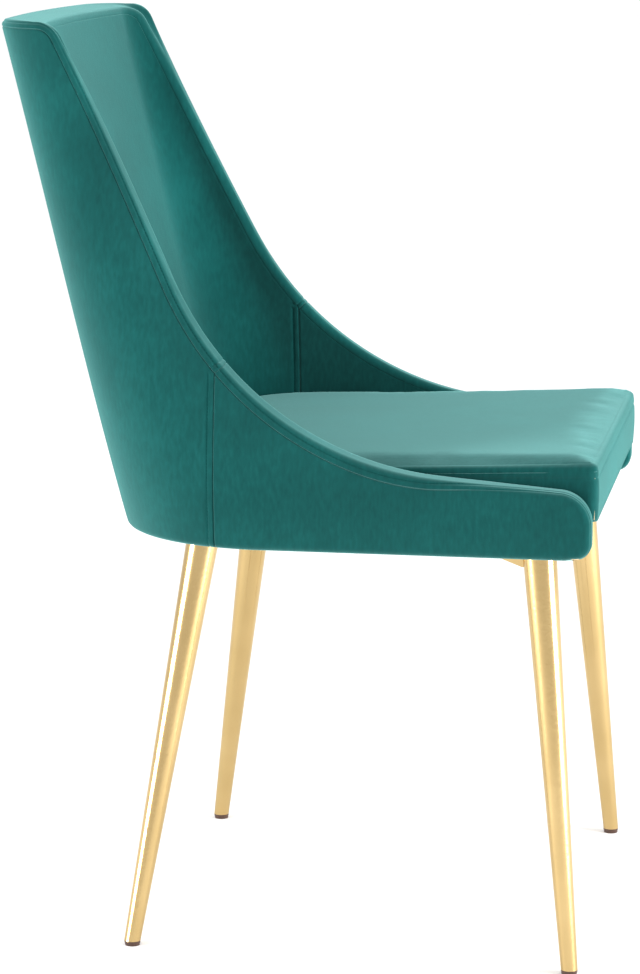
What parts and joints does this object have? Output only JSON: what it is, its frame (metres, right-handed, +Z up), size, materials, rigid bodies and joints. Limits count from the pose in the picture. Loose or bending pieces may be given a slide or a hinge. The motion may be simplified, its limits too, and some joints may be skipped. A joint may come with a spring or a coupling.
{
  "type": "dining chair",
  "caption": "Upholstered dining chair with a high reclined back, sides that sweep down into low arms, a box seat cushion and splayed tapered metal legs.",
  "frame": {"origin": "on the floor, below the centre of the chair's bounding box", "axes": "+Z up, the chair faces -Y, +X to the chair's own left-to-right when seen from the front"},
  "size_m": [0.523, 0.6144, 0.927],
  "materials": {
    "velvet": "teal green velvet, short pile with a soft sheen",
    "foam": "open-cell upholstery foam, hidden",
    "dust_cloth": "black non-woven cloth",
    "hardwood": "plain hardwood, hidden",
    "plywood": "plywood, hidden",
    "gold_metal": "satin gold-coloured plated steel tube",
    "glide_plastic": "dark brown moulded plastic",
    "zinc_steel": "zinc-plated steel fasteners"
  },
  "bodies": {
    "root": {"back_foam": "foam", "back_shell": "plywood", "corner_blocks": "hardwood", "dust_cover": "dust_cloth", "frame_screws": "zinc_steel", "front_rail": "hardwood", "front_rail_cover": "velvet", "glide_front_left": "glide_plastic", "glide_front_right": "glide_plastic", "glide_rear_left": "glide_plastic", "glide_rear_right": "glide_plastic", "gusset_front_left": "gold_metal", "gusset_front_right": "gold_metal", "gusset_rear_left": "gold_metal", "gusset_rear_right": "gold_metal", "inner_back_cover": "velvet", "inner_side_cover_left": "velvet", "inner_side_cover_right": "velvet", "leg_bolts": "zinc_steel", "leg_front_left": "gold_metal", "leg_front_right": "gold_metal", "leg_plate_front_left": "gold_metal", "leg_plate_front_right": "gold_metal", "leg_plate_rear_left": "gold_metal", "leg_plate_rear_right": "gold_metal", "leg_rear_left": "gold_metal", "leg_rear_right": "gold_metal", "leg_tee_nuts": "zinc_steel", "leg_washers": "zinc_steel", "outer_back_cover": "velvet", "outer_side_cover_left": "velvet", "outer_side_cover_right": "velvet", "rear_rail": "hardwood", "rim_band_back": "velvet", "rim_band_left": "velvet", "rim_band_right": "velvet", "seat_band": "velvet", "seat_board": "plywood", "seat_foam": "foam", "seat_top_cover": "velvet", "side_foam_left": "foam", "side_foam_right": "foam", "side_panel_left": "plywood", "side_panel_right": "plywood", "side_rail_left": "hardwood", "side_rail_right": "hardwood", "splice_plate_left": "plywood", "splice_plate_right": "plywood"}
  },
  "joints": []
}
